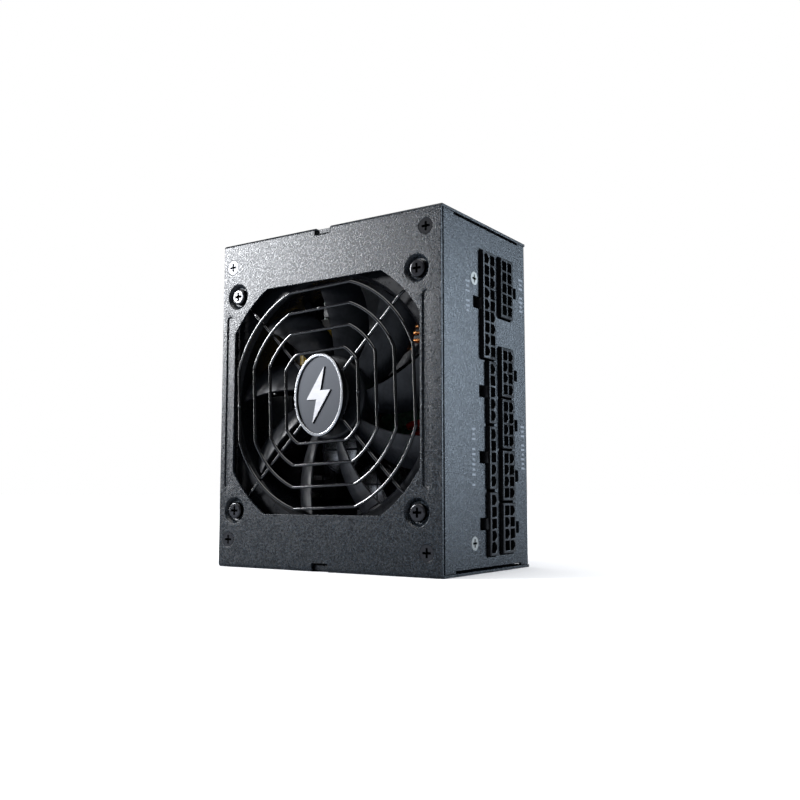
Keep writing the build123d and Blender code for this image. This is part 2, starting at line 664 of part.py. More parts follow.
def make_inlet():
    """The mains inlet: a flanged housing with a cut-corner cavity, three blades and two screws."""
    wide, tall = CAVITY_Y + 2.6, CAVITY_Z + 2.6
    with BuildPart() as inlet:
        with BuildSketch(plug_side(INLET_FRONT, INLET_Y, INLET_Z)) as outside:
            Rectangle(wide, tall)
            chamfer(outside.vertices().group_by(Axis.X)[0], CAVITY_CUT)
        extrude(amount=INLET_REAR - INLET_FRONT)
        with BuildSketch(plug_side(-WALL_IN, INLET_Y, INLET_Z)):
            RectangleRounded(wide + 1.6, 49.0, 4.0)
            with Locations((0, -20), (0, 20)):
                Circle(1.6, mode=Mode.SUBTRACT)
        extrude(amount=2.4)
        with BuildSketch(plug_side(INLET_FRONT, INLET_Y, INLET_Z)) as cavity:
            Rectangle(CAVITY_Y, CAVITY_Z)
            chamfer(cavity.vertices().group_by(Axis.X)[0], CAVITY_CUT - 0.4)
        extrude(amount=CAVITY_DEPTH, mode=Mode.SUBTRACT)
        with BuildSketch(plug_side(INLET_REAR, INLET_Y, INLET_Z)):
            with Locations(*inlet_pin_places()):
                Rectangle(4.1, 2.1)
        extrude(amount=-8, mode=Mode.SUBTRACT)
    save(inlet, "inlet_housing")
    with BuildPart() as pins:
        for index, (across, up) in enumerate(inlet_pin_places()):
            tip = 1.4 if index == 2 else 3.0
            with BuildSketch(plug_side(INLET_FRONT + tip, INLET_Y + across, INLET_Z + up)):
                Rectangle(4.0, 2.0)
            extrude(amount=INLET_REAR + 4.0 - INLET_FRONT - tip)
        chamfer(pins.faces().filter_by(Axis.X).sort_by(Axis.X)[:3].edges(), 0.5)
    save(pins, "inlet_pins")
    points = [(INLET_Y, INLET_Z - 20), (INLET_Y, INLET_Z + 20)]
    mirrored = [(-y, z) for y, z in points]
    outward = Plane(origin=(-HALF_X, 0, 0), x_dir=(0, -1, 0), z_dir=(-1, 0, 0))
    save(pan_screws(outward, mirrored, 2.7, 1.5, 1.45, 6.0), "inlet_screws")


def make_switch():
    """A rocker switch that rests in its off position and rocks over through twice its tilt."""
    bezel_y, bezel_z, bezel = 21.0, 15.0, 1.5
    body_y, body_z, body_rear = 19.0, 12.8, -35.0
    pocket_y, pocket_z, pocket_floor = 16.1, 9.4, PIVOT_X + 5.4
    pin_r, pin_long = 1.2, 0.9
    rocker_z = 8.8
    with BuildPart() as housing:
        with BuildSketch(plug_side(-HALF_X - bezel, SWITCH_Y, SWITCH_Z)):
            RectangleRounded(bezel_y, bezel_z, 1.0)
        extrude(amount=bezel)
        chamfer(housing.faces().sort_by(Axis.X)[0].edges(), 0.5)
        with BuildSketch(plug_side(-HALF_X, SWITCH_Y, SWITCH_Z)):
            Rectangle(body_y, body_z)
        extrude(amount=body_rear + HALF_X)
        with BuildSketch(plug_side(-HALF_X - bezel, SWITCH_Y, SWITCH_Z)):
            Rectangle(pocket_y, pocket_z)
        extrude(amount=pocket_floor + HALF_X + bezel, mode=Mode.SUBTRACT)
        with BuildSketch(Plane.XY.offset(SWITCH_Z - pocket_z / 2 - pin_long)):
            with Locations((PIVOT_X, SWITCH_Y)):
                Circle(pin_r + 0.05)
        extrude(amount=pocket_z + 2 * pin_long, mode=Mode.SUBTRACT)
        with BuildSketch(plug_side(body_rear, SWITCH_Y, SWITCH_Z)):
            with Locations((-4.0, 0), (4.0, 0)):
                Rectangle(0.9, 4.9)
        extrude(amount=-4, mode=Mode.SUBTRACT)
    save(housing, "switch_housing")

    level = Plane(origin=(PIVOT_X, SWITCH_Y, SWITCH_Z), x_dir=(-1, 0, 0), z_dir=(0, 0, 1))
    tilted = level.rotated((0, 0, SWITCH_TILT))
    with BuildPart() as rocker:
        with BuildSketch(tilted.offset(-rocker_z / 2)) as side:
            with BuildLine():
                Polyline((-4.0, -3.2), (-0.8, -ROCK_HALF), (2.3, -ROCK_HALF), (1.2, 0), (2.3, ROCK_HALF),
                         (-0.8, ROCK_HALF), (-4.0, 3.2), close=True)
            make_face()
            fillet(side.vertices().sort_by(Axis.X)[-2:], 0.4)
        extrude(amount=rocker_z)
        with BuildSketch(tilted.offset(-rocker_z / 2 - pin_long)):
            Circle(pin_r)
        extrude(amount=rocker_z + 2 * pin_long)
    save(rocker, "switch_rocker")
    with BuildPart() as tabs:
        with BuildSketch(plug_side(body_rear - 3.9, SWITCH_Y, SWITCH_Z)):
            with Locations((-4.0, 0), (4.0, 0)):
                Rectangle(0.8, 4.8)
        extrude(amount=9.0)
    save(tabs, "switch_terminals")


def make_mains_leads():
    """Live from the inlet to the switch, live on to the main board, neutral straight to the main board."""
    tab_end = INLET_REAR + 4.0
    live_y, live_z = INLET_Y + 2.0, INLET_Z + 7.0
    neutral_z = INLET_Z - 7.0
    switch_end = -29.9
    routes = [[(tab_end, live_y, live_z), (-22.5, live_y, live_z), (-22.5, live_y - 4, 44.0),
               (-24.0, SWITCH_Y - 4, SWITCH_Z), (switch_end, SWITCH_Y - 4, SWITCH_Z)],
              [(switch_end, SWITCH_Y + 4, SWITCH_Z), (-25.5, SWITCH_Y + 4, SWITCH_Z),
               (-25.5, 14.0, SWITCH_Z - 1.0), (-25.5, PCB_TOP, SWITCH_Z - 1.0)],
              [(tab_end, live_y, neutral_z), (-23.0, live_y, neutral_z),
               (-23.0, 13.0, neutral_z + 2.0), (-23.0, PCB_TOP, neutral_z + 2.0)]]
    leads("mains_leads", routes, 1.0)


# ---------------------------------------------------------------- boards

def make_boards():
    """The main board on four standoffs, and the insulation sheet between it and the back."""
    board_x0, board_x1, board_z0, board_z1 = -43.5, 40.0, 3.0, 122.0
    notch = 8.0
    screw_r = 1.6
    with BuildPart() as board:
        block(board_x0, board_x1, PCB_TOP, PCB_LOW, board_z0, board_z1)
        for z0, z1 in ((board_z0, board_z0 + notch), (board_z1 - notch, board_z1)):
            block(board_x0, board_x0 + notch, PCB_TOP, PCB_LOW, z0, z1, Mode.SUBTRACT)
        with BuildSketch(fan_side(PCB_TOP)):
            with Locations(*STANDOFFS):
                Circle(screw_r)
        extrude(amount=-3, mode=Mode.SUBTRACT)
    save(board, "main_board")
    with BuildPart() as standoffs:
        with BuildSketch(fan_side(PCB_LOW)):
            with Locations(*STANDOFFS):
                RegularPolygon(2.5, 6, major_radius=False)
                Circle(1.6, mode=Mode.SUBTRACT)
        extrude(amount=PCB_LOW - BASE_IN)
    save(standoffs, "board_standoffs")
    save(pan_screws(fan_side(PCB_TOP), STANDOFFS, 2.7, 1.7, 1.5, 5.5), "board_screws")
    with BuildPart() as sheet:
        block(-46, 46, BASE_IN - 0.5, BASE_IN - 0.1, 3.0, 122.0)
        with BuildSketch(fan_side(BASE_IN - 0.6)):
            with Locations(*STANDOFFS):
                Circle(3.2)
        extrude(amount=-1, mode=Mode.SUBTRACT)
    save(sheet, "insulation_sheet")


# ---------------------------------------------------------------- electronics

def upright_can(x, z, radius, height, rim=0.6):
    """A can capacitor that stands on the main board, with a rolled edge and a crimp near its foot."""
    with BuildSketch(fan_side(PCB_TOP, x, z)) as foot:
        Circle(radius)
    can = extrude(foot.sketch, amount=height)
    top = can.faces().sort_by(Axis.Y)[0]
    fillet(top.edges(), rim)
    with BuildSketch(fan_side(PCB_TOP - 3.2, x, z)) as crimp:
        Circle(radius + 1)
        Circle(radius - 0.35, mode=Mode.SUBTRACT)
    extrude(crimp.sketch, amount=1.0, mode=Mode.SUBTRACT)


def make_capacitors():
    """Two bulk cans, a block of twelve output cans and two film capacitors, all on the main board."""
    pitch_x, pitch_z = 8.9, 9.0
    with BuildPart() as bulk:
        for x, z, radius, height in ((-11.0, 44.5, 9.5, 30.0), (6.5, 31.0, 9.0, 30.0)):
            upright_can(x, z, radius, height, 1.0)
    save(bulk, "bulk_capacitors")
    with BuildPart() as output:
        for row in range(6):
            for column in range(2):
                tall = 15.0 if (row + column) % 2 else 12.0
                upright_can(23.0 + pitch_x * column, 8.5 + pitch_z * row, 4.0, tall)
    save(output, "output_capacitors")
    with BuildPart() as film:
        for x0, x1, z0, z1, height in ((-30.6, -24.6, 25.5, 41.5, 15.0),
                                       (-31.0, -15.0, 100.5, 107.0, 16.0)):
            block(x0, x1, PCB_TOP - height, PCB_TOP, z0, z1)
        chamfer(film.edges().filter_by(Axis.Y), 0.5)
        fillet(film.faces().sort_by(Axis.Y)[0].edges(), 0.4)
    save(film, "film_capacitors")


def wound_core(centre_x, centre_y, centre_z, wide, deep, tall, leg):
    """A pair of ferrite halves: a middle leg, two outer walls and two end yokes around a winding."""
    half_w, half_d, half_t = wide / 2, deep / 2, tall / 2
    for z0, z1 in ((-half_t, -half_t + leg), (half_t - leg, half_t)):
        block(centre_x - half_w, centre_x + half_w, centre_y - half_d * 0.62, centre_y + half_d * 0.62,
              centre_z + z0, centre_z + z1)
    for x0, x1 in ((-half_w, -half_w + leg), (half_w - leg, half_w)):
        block(centre_x + x0, centre_x + x1, centre_y - half_d * 0.62, centre_y + half_d * 0.62,
              centre_z - half_t, centre_z + half_t)
    with BuildSketch(Plane.XY.offset(centre_z - half_t)) as leg_outline:
        with Locations((centre_x, centre_y)):
            Circle(wide * 0.2)
    extrude(leg_outline.sketch, amount=tall)


def winding_drum(centre_x, centre_y, centre_z, wide, deep, tall, leg):
    """The taped winding on its bobbin, between the yokes, round the middle leg."""
    gap = 0.4
    with BuildSketch(Plane.XY.offset(centre_z - tall / 2 + leg + gap)) as drum:
        with Locations((centre_x, centre_y)):
            RectangleRounded(wide - 2 * leg - 2 * gap, deep, 5.0)
            Circle(wide * 0.2 + 0.1, mode=Mode.SUBTRACT)
    extrude(drum.sketch, amount=tall - 2 * leg - 2 * gap)


# name: centre x, y, z, then width, depth and height, then the thickness of the ferrite walls
INDUCTOR = (-27.0, 9.0, 82.8, 29.0, 26.0, 31.0, 4.5)
TRANSFORMER = (1.0, 9.5, 98.0, 25.0, 24.0, 32.0, 4.5)


def make_magnetics():
    """The inductor, the transformer, the toroidal output choke and the mains filter choke."""
    for spec, core_name, drum_name in ((INDUCTOR, "pfc_inductor_core", "pfc_inductor_winding"),
                                       (TRANSFORMER, "transformer_core", "transformer_winding")):
        with BuildPart() as core:
            wound_core(*spec)
        save(core, core_name)
        with BuildPart() as drum:
            winding_drum(*spec)
        save(drum, drum_name)

    x, y, z = 24.0, 8.0, 84.0
    core_r, core_hole, core_long, wire = 10.2, 5.6, 9.0, 1.6
    gap = 0.15
    with BuildPart() as core:
        with BuildSketch(plug_side(x - core_long / 2, y, z)):
            Circle(core_r)
            Circle(core_hole, mode=Mode.SUBTRACT)
        extrude(amount=core_long)
        fillet(core.edges().filter_by(GeomType.CIRCLE), 0.8)
    save(core, "output_choke_core")
    with BuildPart() as winding:
        with BuildSketch(Plane(origin=(x, y, z), x_dir=(1, 0, 0), z_dir=(0, 0, 1))):
            with Locations((0, (core_r + core_hole) / 2)):
                Rectangle(core_long + 2 * gap + 2 * wire, core_r - core_hole + 2 * gap + 2 * wire)
                Rectangle(core_long + 2 * gap, core_r - core_hole + 2 * gap, mode=Mode.SUBTRACT)
        revolve(axis=Axis((x, y, z), (1, 0, 0)), revolution_arc=290)
    save(winding, "output_choke_winding")

    x, z = -13.0, 14.0
    with BuildPart() as core:
        for z0, z1 in ((z - 8.0, z - 4.5), (z + 4.5, z + 8.0)):
            block(x - 7, x + 7, PCB_TOP - 20.0, PCB_TOP - 3.0, z0, z1)
        for y0, y1 in ((PCB_TOP - 20.0, PCB_TOP - 16.0), (PCB_TOP - 7.0, PCB_TOP - 3.0)):
            block(x - 3.5, x + 3.5, y0, y1, z - 4.5, z + 4.5)
    save(core, "filter_choke_core")
    with BuildPart() as winding:
        for low in (PCB_TOP - 20.0, PCB_TOP - 7.0):
            block(x - 5.5, x + 5.5, low - 1.7, low + 5.7, z - 4.3, z + 4.3)
        fillet(winding.edges().filter_by(Axis.Z), 0.8)
        for low in (PCB_TOP - 20.0, PCB_TOP - 7.0):
            block(x - 3.6, x + 3.6, low - 0.1, low + 4.1, z - 5, z + 5, Mode.SUBTRACT)
    save(winding, "filter_choke_winding")


def fin_plate(x0, x1, top, z, thick, fins, reach):
    """A heat sink: a plate that stands on the main board with a row of fins near its top."""
    block(x0, x1, top, PCB_TOP, z, z + thick)
    for fin in range(fins):
        y = top + 1.2 + fin * 3.0
        block(x0, x1, y, y + 1.0, z + thick, z + thick + reach)


def make_power_stage():
    """Two heat sinks, two transistors and a bridge rectifier, and the leads to the socket board."""
    primary_z, primary_x0, primary_x1, top = 16.0, -3.5, 17.0, -7.0
    body_low, leg_pitch, leg_wide = 13.0, 1.7, 0.8
    with BuildPart() as sink:
        fin_plate(primary_x0, primary_x1, top, primary_z, 2.0, 4, 3.5)
        block(primary_x0, primary_x1, top, top + 1.2, primary_z - 6, primary_z)
    save(sink, "primary_heatsink")
    with BuildPart() as transistors:
        for x in (-1.0, 10.0):
            block(x, x + 6.0, body_low - 9.0, body_low, primary_z - 3.0, primary_z - 0.05)
            for leg in range(3):
                leg_x = x + 0.9 + leg_pitch * leg
                block(leg_x, leg_x + leg_wide, body_low, PCB_TOP, primary_z - 2.0, primary_z - 1.4)
    save(transistors, "power_transistors")
    with BuildPart() as sink:
        fin_plate(21.0, 35.9, 2.0, 65.2, 1.6, 3, 2.4)
    save(sink, "secondary_heatsink")
    with BuildPart() as bridge:
        block(-27.0, -5.0, 0.5, 18.0, 62.4, 64.4)
        chamfer(bridge.faces().sort_by(Axis.Y)[0].edges().filter_by(Axis.Z), 1.0)
        for leg in range(4):
            x = -25.2 + 5.6 * leg
            block(x, x + 1.2, 18.0, PCB_TOP, 63.0, 63.8)
    save(bridge, "bridge_rectifier")
    routes = []
    for index, z in enumerate((45.0, 49.0, 53.0)):
        x = 13.0 + 1.5 * (index % 2)
        crest = -1.0 - 0.8 * (index % 2)
        routes.append([(x, PCB_TOP, z), (x, 2.5, z), (x + 9.0, crest, z + 1.0),
                       (MOD_BACK - 7.0, 6.5, z + 2.0), (MOD_BACK, 6.5, z + 2.0)])
    leads("output_leads", routes, 1.25)


os.makedirs("parts", exist_ok=True)
make_fan_cover()
make_base_shell()
make_case_fasteners()
make_grille()
make_badge()
make_fan_frame()
make_fan_rotor()
make_fan_motor()
make_fan_connection()
make_sockets()
make_socket_board()
make_inlet()
make_switch()
make_mains_leads()
make_boards()
make_capacitors()
make_magnetics()
make_power_stage()
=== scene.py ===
"""A compact modular power supply unit: its looks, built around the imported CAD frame. Metres throughout."""

import json
import math

import bmesh
import bpy
from mathutils import Matrix, Vector


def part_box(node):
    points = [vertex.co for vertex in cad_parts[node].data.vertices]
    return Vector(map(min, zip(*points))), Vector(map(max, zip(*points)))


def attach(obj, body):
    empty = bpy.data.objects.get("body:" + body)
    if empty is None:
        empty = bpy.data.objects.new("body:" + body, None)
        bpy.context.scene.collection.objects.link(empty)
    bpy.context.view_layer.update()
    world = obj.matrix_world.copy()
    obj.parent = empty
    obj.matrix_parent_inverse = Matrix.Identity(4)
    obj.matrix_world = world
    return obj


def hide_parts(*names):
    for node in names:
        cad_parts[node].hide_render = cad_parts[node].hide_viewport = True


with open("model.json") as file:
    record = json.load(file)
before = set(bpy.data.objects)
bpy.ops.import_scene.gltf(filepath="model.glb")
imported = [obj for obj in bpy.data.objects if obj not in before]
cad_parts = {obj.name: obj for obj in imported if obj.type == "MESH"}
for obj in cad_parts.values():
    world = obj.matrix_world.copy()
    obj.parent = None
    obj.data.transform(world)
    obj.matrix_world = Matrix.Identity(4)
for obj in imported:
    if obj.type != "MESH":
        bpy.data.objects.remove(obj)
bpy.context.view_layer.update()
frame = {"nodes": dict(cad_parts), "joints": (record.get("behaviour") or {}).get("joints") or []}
NODES = frame["nodes"]
MM = 0.001


# ---- the camera ----

EYE_TURN = math.radians(33.8)
EYE_LIFT = math.radians(-5.97)
EYE_AWAY = 355.0 * MM
EYE_RIGHT = 10.2 * MM
EYE_UP = 1.2 * MM
LENS_MM = 41.2
SENSOR_MM = 36.0


def make_camera(target):
    """A camera at the photograph's viewing angle, a little off the middle of the unit."""
    back = Vector((
        math.sin(EYE_TURN) * math.cos(EYE_LIFT),
        -math.cos(EYE_TURN) * math.cos(EYE_LIFT),
        math.sin(EYE_LIFT),
    ))
    right = Vector((math.cos(EYE_TURN), math.sin(EYE_TURN), 0.0))
    up = back.cross(right)
    data = bpy.data.cameras.new("camera")
    data.lens = LENS_MM
    data.sensor_width = SENSOR_MM
    data.clip_start = 0.01
    camera = bpy.data.objects.new("camera", data)
    axes = Matrix((right, up, back)).transposed().to_4x4()
    place = target + back * EYE_AWAY + right * EYE_RIGHT + up * EYE_UP
    camera.matrix_world = Matrix.Translation(place) @ axes
    bpy.context.scene.collection.objects.link(camera)
    bpy.context.scene.camera = camera


case_low, case_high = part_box("fan_cover")
CENTRE = Vector((0.0, 0.0, (case_low.z + case_high.z) / 2))
make_camera(CENTRE)


# ---- the studio ----

WHITE = (1.0, 1.0, 1.0)


def softbox(name, direction, distance, width, height, power, colour=WHITE):
    """A rectangular lamp that looks at the unit from that direction."""
    data = bpy.data.lights.new(name, "AREA")
    data.shape = "RECTANGLE"
    data.size = width
    data.size_y = height
    data.energy = power
    data.color = colour
    lamp = bpy.data.objects.new(name, data)
    towards = Vector(direction).normalized()
    lamp.location = CENTRE + towards * distance
    lamp.rotation_euler = towards.to_track_quat("Z", "Y").to_euler()
    bpy.context.scene.collection.objects.link(lamp)


def make_world(seen, ambient):
    """A white surround to look at, and a dimmer one that lights and reflects."""
    world = bpy.data.worlds.new("studio")
    world.use_nodes = True
    nodes, links = world.node_tree.nodes, world.node_tree.links
    surround = nodes["Background"]
    surround.inputs["Color"].default_value = (*WHITE, 1.0)
    path = nodes.new("ShaderNodeLightPath")
    strength = nodes.new("ShaderNodeMapRange")
    strength.inputs["To Min"].default_value = ambient
    strength.inputs["To Max"].default_value = seen
    links.new(path.outputs["Is Camera Ray"], strength.inputs["Value"])
    links.new(strength.outputs["Result"], surround.inputs["Strength"])
    bpy.context.scene.world = world


def make_floor(reach, colour, bounce):
    """A plain pale floor under the unit, which throws back less light than it shows."""
    bm = bmesh.new()
    around = ((-reach, -reach), (reach, -reach), (reach, reach), (-reach, reach))
    bm.faces.new([bm.verts.new((x, y, 0.0)) for x, y in around])
    mesh = bpy.data.meshes.new("floor")
    bm.to_mesh(mesh)
    bm.free()
    floor = bpy.data.objects.new("floor", mesh)
    material = bpy.data.materials.new("floor")
    material.use_nodes = True
    shader = material.node_tree.nodes["Principled BSDF"]
    shader.inputs["Roughness"].default_value = 0.9
    shader.inputs["Specular IOR Level"].default_value = 0.0
    nodes, links = material.node_tree.nodes, material.node_tree.links
    path = nodes.new("ShaderNodeLightPath")
    shown = nodes.new("ShaderNodeMix")
    shown.data_type = "RGBA"
    shown.inputs["A"].default_value = (*bounce, 1.0)
    shown.inputs["B"].default_value = (*colour, 1.0)
    links.new(path.outputs["Is Camera Ray"], shown.inputs["Factor"])
    links.new(shown.outputs["Result"], shader.inputs["Base Color"])
    mesh.materials.append(material)
    bpy.context.scene.collection.objects.link(floor)


def make_overhead(strength, spread):
    """Even light from straight above, which keeps the floor pale up to the horizon."""
    data = bpy.data.lights.new("overhead", "SUN")
    data.energy = strength
    data.angle = spread
    bpy.context.scene.collection.objects.link(bpy.data.objects.new("overhead", data))


make_world(seen=1.0, ambient=0.045)
make_floor(reach=300.0, colour=(0.97, 0.97, 0.98), bounce=(0.34, 0.37, 0.42))
make_overhead(3.3, math.radians(60.0))
softbox("key", (-0.735, -0.605, 0.30), 1.19, 0.22, 0.26, 18.0, (0.94, 0.96, 1.0))
softbox("strip", (-0.93, -0.36, 0.0), 1.1, 0.07, 1.5, 11.0)
softbox("side", (0.67, 0.73, 0.15), 1.2, 0.3, 0.45, 6.6, (0.68, 0.83, 1.0))
softbox("fill", (0.85, -0.75, 0.35), 1.6, 1.2, 1.2, 0.35, (0.85, 0.93, 1.0))
bpy.context.scene.view_settings.view_transform = "Standard"


# ---- finishes ----

class Finish:
    """A Principled material, with short calls that wire procedural textures into it."""

    def __init__(self, slot, colour, roughness, metallic=0.0, **sockets):
        self.material = bpy.data.materials.new(slot + "_finish")
        self.material.use_nodes = True
        self.nodes = self.material.node_tree.nodes
        self.links = self.material.node_tree.links
        self.shader = self.nodes["Principled BSDF"]
        self.set("Base Color", (*colour, 1.0))
        self.set("Roughness", roughness)
        self.set("Metallic", metallic)
        for name, value in sockets.items():
            self.set(name.replace("_", " "), value)
        self.place = self.nodes.new("ShaderNodeTexCoord").outputs["Object"]
        self.heights = None

    def set(self, name, value):
        self.shader.inputs[name].default_value = value

    def stretched(self, stretch):
        """The place on the part, drawn out along an axis so that a texture becomes streaks."""
        mapping = self.nodes.new("ShaderNodeMapping")
        mapping.inputs["Scale"].default_value = stretch
        self.links.new(self.place, mapping.inputs["Vector"])
        return mapping.outputs["Vector"]

    def noise(self, size, detail=2.0, stretch=None):
        """Soft random spots of that size."""
        node = self.nodes.new("ShaderNodeTexNoise")
        node.inputs["Scale"].default_value = 1.0 / size
        node.inputs["Detail"].default_value = detail
        place = self.stretched(stretch) if stretch else self.place
        self.links.new(place, node.inputs["Vector"])
        return node.outputs["Fac"]

    def cells(self, size):
        """Round random cells of that size: 0 at each middle, rising outwards."""
        node = self.nodes.new("ShaderNodeTexVoronoi")
        node.inputs["Scale"].default_value = 1.0 / size
        self.links.new(self.place, node.inputs["Vector"])
        return node.outputs["Distance"]

    def along(self, axis):
        """How far along X, Y or Z each point lies."""
        apart = self.nodes.new("ShaderNodeSeparateXYZ")
        self.links.new(self.place, apart.inputs["Vector"])
        return apart.outputs[axis]

    def ramp(self, source, start, end, low, high):
        """The source between start and end, redrawn between low and high."""
        node = self.nodes.new("ShaderNodeMapRange")
        for name, value in (("From Min", start), ("From Max", end), ("To Min", low), ("To Max", high)):
            node.inputs[name].default_value = value
        self.links.new(source, node.inputs["Value"])
        return node.outputs["Result"]

    def tint(self, source, low, high, start=0.35, end=0.65):
        """The base colour goes from low to high as the source rises."""
        node = self.nodes.new("ShaderNodeValToRGB")
        node.color_ramp.elements[0].position = start
        node.color_ramp.elements[0].color = (*low, 1.0)
        node.color_ramp.elements[1].position = end
        node.color_ramp.elements[1].color = (*high, 1.0)
        self.links.new(source, node.inputs["Fac"])
        self.links.new(node.outputs["Color"], self.shader.inputs["Base Color"])

    def gloss(self, source, low, high, start=0.35, end=0.65):
        """The roughness goes from low to high as the source rises."""
        self.links.new(self.ramp(source, start, end, low, high), self.shader.inputs["Roughness"])

    def bump(self, source, depth, strength=1.0):
        """The source raises the surface by that depth. A second call adds to the first."""
        node = self.nodes.new("ShaderNodeBump")
        node.inputs["Distance"].default_value = depth
        node.inputs["Strength"].default_value = strength
        self.links.new(source, node.inputs["Height"])
        if self.heights:
            self.links.new(self.heights, node.inputs["Normal"])
        self.heights = node.outputs["Normal"]
        self.links.new(self.heights, self.shader.inputs["Normal"])


def case_paint():
    """Charcoal powder coat with a fine pebbled grain and paler grains in it."""
    finish = Finish("case_paint", (0.015, 0.018, 0.022), 0.31, Specular_IOR_Level=0.3)
    grain = finish.noise(0.44 * MM, 2.0)
    finish.tint(grain, (0.002, 0.0027, 0.0036), (0.034, 0.044, 0.056), 0.48, 0.64)
    finish.gloss(finish.noise(0.8 * MM), 0.21, 0.34)
    finish.bump(grain, 0.1 * MM, 1.0)
    return finish.material


def with_painted_recess_shade(slot, colour, roughness, metallic, axis, face, floor):
    """A screw's finish: bright on its head, with painted shade down in the recess, which turns dull and dark
    with depth.
    """
    lip, bottom = 0.35, 0.5
    # painted shade: deeper in the recess the colour falls to 2% of the head's, and the shine dies away
    dark = tuple(c * 0.02 for c in colour)
    finish = Finish(slot, colour, roughness, metallic)
    depth = finish.ramp(finish.along(axis), face, floor, 0.0, 1.0)
    shine = finish.ramp(depth, lip, bottom, 0.5, 0.02)
    finish.tint(depth, colour, dark, lip, bottom)
    finish.gloss(depth, roughness, 0.8, lip, bottom)
    finish.links.new(shine, finish.shader.inputs["Specular IOR Level"])
    finish.bump(finish.noise(0.25 * MM, 3.0), 0.006 * MM, 0.5)
    return finish.material


def badge_metal():
    """A dark brushed field, and a bright polished rim where the plate stands proud."""
    rim_colour, field_colour = (0.45, 0.46, 0.48), (0.035, 0.037, 0.041)
    finish = Finish("badge_metal", rim_colour, 0.34, 1.0)
    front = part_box("badge_plate")[0].y
    field = finish.ramp(finish.along("Y"), front + 0.25 * MM, front + 0.45 * MM, 0.0, 1.0)
    brushed = finish.noise(0.35 * MM, 3.0, (0.06, 1.0, 1.0))
    finish.tint(field, rim_colour, field_colour, 0.4, 0.6)
    finish.gloss(field, 0.20, 0.42, 0.4, 0.6)
    finish.bump(brushed, 0.02 * MM, 0.6)
    return finish.material


def label_film():
    """A dark satin film with pale ruled blocks in rows, which stand for its print."""
    film, ink = (0.03, 0.03, 0.033), (0.36, 0.36, 0.35)
    finish = Finish("label_film", film, 0.4)
    flat = finish.nodes.new("ShaderNodeCombineXYZ")
    finish.links.new(finish.along("X"), flat.inputs["X"])
    finish.links.new(finish.along("Z"), flat.inputs["Y"])
    rows = finish.nodes.new("ShaderNodeTexBrick")
    rows.offset = 0.37
    finish.links.new(flat.outputs["Vector"], rows.inputs["Vector"])
    for name, value in (("Scale", 1.0), ("Brick Width", 5.2 * MM), ("Row Height", 2.3 * MM),
                        ("Mortar Size", 0.75 * MM), ("Mortar Smooth", 0.0), ("Bias", -0.35),
                        ("Color1", (*film, 1.0)), ("Color2", (*ink, 1.0)), ("Mortar", (*film, 1.0))):
        rows.inputs[name].default_value = value
    finish.links.new(rows.outputs["Color"], finish.shader.inputs["Base Color"])
    finish.gloss(finish.noise(2.0 * MM), 0.34, 0.48)
    finish.bump(finish.noise(0.5 * MM), 0.01 * MM, 0.4)
    return finish.material


def circuit_board():
    """Dark green solder mask that lies over a maze of copper tracks."""
    bare, covered = (0.008, 0.045, 0.018), (0.016, 0.085, 0.035)
    start, end = 0.30, 0.36
    finish = Finish("circuit_board", bare, 0.3, Coat_Weight=0.3)
    tracks = finish.cells(3.2 * MM)
    finish.tint(tracks, bare, covered, start, end)
    finish.gloss(finish.noise(1.5 * MM), 0.26, 0.40)
    finish.bump(finish.ramp(tracks, start, end, 0.0, 1.0), 0.03 * MM, 0.7)
    return finish.material


def taped():
    """Yellow polyester tape wound in overlapping layers."""
    finish = Finish("yellow_tape", (0.60, 0.38, 0.02), 0.3, Coat_Weight=0.3)
    layers = finish.noise(1.6 * MM, 2.0, (0.05, 0.05, 1.0))
    finish.tint(layers, (0.42, 0.25, 0.01), (0.66, 0.44, 0.04), 0.4, 0.6)
    finish.gloss(finish.noise(1.2 * MM), 0.22, 0.40)
    finish.bump(layers, 0.08 * MM, 0.7)
    return finish.material


def streaked(slot, colour, roughness, stretch, size=0.3 * MM, relief=0.02 * MM, metallic=1.0):
    """Metal with the fine parallel lines that drawing, turning or extruding leaves."""
    finish = Finish(slot, colour, roughness, metallic)
    lines = finish.noise(size, 3.0, stretch)
    finish.tint(lines, tuple(c * 0.82 for c in colour), tuple(min(c * 1.1, 1.0) for c in colour))
    finish.gloss(lines, roughness * 0.8, roughness * 1.3)
    finish.bump(lines, relief, 0.5)
    return finish.material


def fan_plastic():
    """Glossy black moulding with a faint flow ripple."""
    finish = Finish("fan_plastic", (0.007, 0.008, 0.010), 0.34, Specular_IOR_Level=0.36)
    finish.tint(finish.noise(1.0 * MM), (0.005, 0.006, 0.008), (0.010, 0.011, 0.014))
    finish.gloss(finish.noise(3.0 * MM), 0.32, 0.42)
    finish.bump(finish.noise(8.0 * MM), 0.06 * MM, 0.2)
    finish.bump(finish.noise(0.4 * MM), 0.006 * MM, 0.4)
    return finish.material


def plain(slot, colour, roughness, metallic=0.0, grain=0.4 * MM, relief=0.01 * MM, **sockets):
    """A finish with a fine grain, a little uneven in colour and gloss."""
    finish = Finish(slot, colour, roughness, metallic, **sockets)
    uneven = finish.noise(grain, 3.0)
    dark = tuple(c * 0.8 for c in colour)
    light = tuple(min(c * 1.15, 1.0) for c in colour)
    finish.tint(uneven, dark, light)
    finish.gloss(finish.noise(grain * 6), roughness * 0.85, min(roughness * 1.2, 1.0))
    finish.bump(uneven, relief, 0.5)
    return finish.material


